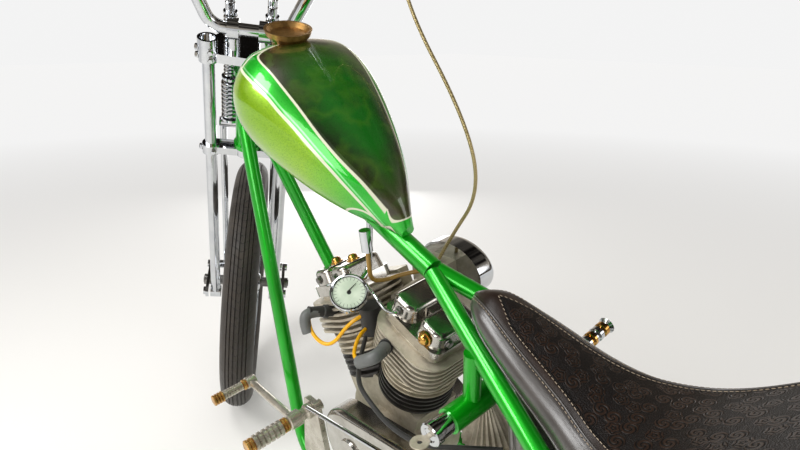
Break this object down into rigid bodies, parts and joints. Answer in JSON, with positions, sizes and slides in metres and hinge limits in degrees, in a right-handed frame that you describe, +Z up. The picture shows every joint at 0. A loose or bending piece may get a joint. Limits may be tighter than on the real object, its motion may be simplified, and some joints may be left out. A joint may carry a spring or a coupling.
{
  "type": "rigid-frame chopper motorcycle",
  "caption": "Rigid-frame V-twin chopper with a springer fork, high handlebar, teardrop tank, tooled leather seat and wire wheels, parked on its side stand.",
  "frame": {"origin": "on the floor, under the middle of the parked motorcycle's bounding box", "axes": "+X forward along the rear wheel's track, +Y to the rider's left, +Z up; the motorcycle leans 9.13 degrees towards +Y"},
  "size_m": [2.2239, 0.819, 1.3151],
  "materials": {
    "frame_green": "candy green gloss paint",
    "tank_green": "metal-flake green lacquer with cream pinstripes",
    "chrome": "polished chrome plate",
    "cast_aluminium": "as cast, sand texture",
    "polished_aluminium": "polished by hand",
    "black_iron": "black painted iron",
    "steel": "bare steel",
    "brass": "polished brass",
    "rubber": "black rubber",
    "tyre": "worn black rubber",
    "leather": "dark brown tooled leather",
    "lead_yellow": "yellow insulation",
    "braid": "pale gold braid",
    "gauge_face": "pale dial in a chrome cup"
  },
  "bodies": {
    "frame": {"headstock": "frame_green", "backbone": "frame_green", "axle_plates": "frame_green", "down_tubes": "frame_green", "lower_rails": "frame_green", "stay_left": "frame_green", "stay_right": "frame_green", "cross_members": "frame_green", "crankcase": "cast_aluminium", "cylinders": "black_iron", "cylinder_heads": "cast_aluminium", "rocker_boxes": "polished_aluminium", "cam_cover": "polished_aluminium", "pushrod_tubes": "chrome", "primary_cover": "polished_aluminium", "gearbox": "cast_aluminium", "kick_starter": "chrome", "carburettor": "cast_aluminium", "air_cleaner": "chrome", "exhaust_pipes": "chrome", "oil_tank": "steel", "ribbed_cone": "cast_aluminium", "fuel_tank": "tank_green", "filler_cap": "brass", "fuel_tap": "chrome", "gauge": "chrome", "rear_fender": "frame_green", "fender_struts": "chrome", "tail_lamp": "chrome", "seat": "leather", "rear_axle": "steel", "drive_chain": "steel", "left_controls": "cast_aluminium", "right_controls": "cast_aluminium", "shift_rod": "chrome", "ignition_switch": "chrome", "ignition_coil": "rubber", "spark_plugs": "rubber", "plug_leads": "lead_yellow", "throttle_cable": "braid"},
    "fork": {"fork_clamps": "chrome", "fork_legs": "chrome", "spring_legs": "chrome", "fork_springs": "chrome", "rockers": "chrome", "front_axle": "steel", "risers": "chrome", "handlebar": "chrome", "grips": "rubber", "clutch_lever": "polished_aluminium", "headlamp": "chrome"},
    "front_wheel": {"front_tyre": "tyre", "front_rim": "chrome"},
    "rear_wheel": {"rear_tyre": "tyre", "rear_rim": "chrome", "rear_sprocket": "steel"},
    "stand": {"side_stand": "chrome"}
  },
  "joints": [
    {"name": "steering", "type": "hinge", "parent": "frame", "child": "fork", "pos_m": [0.502, -0.0329, 0.8736], "axis": [-0.4384, 0.1426, 0.8874], "range_deg": [0, 68], "deforming": ["throttle_cable"]},
    {"name": "front_wheel", "type": "hinge", "parent": "fork", "child": "front_wheel", "pos_m": [0.80738, -0.14417, 0.34502], "axis": [0.5078, 0.854, 0.1136], "continuous": true},
    {"name": "rear_wheel", "type": "hinge", "parent": "frame", "child": "rear_wheel", "pos_m": [-0.782, -0.1208, 0.32662], "axis": [0, 0.9873, -0.1587], "continuous": true},
    {"name": "side_stand", "type": "hinge", "parent": "frame", "child": "stand", "pos_m": [0.018, 0.0085, 0.08504], "axis": [0.0265, 0.4429, 0.8962], "range_deg": [0, 111.9]}
  ]
}
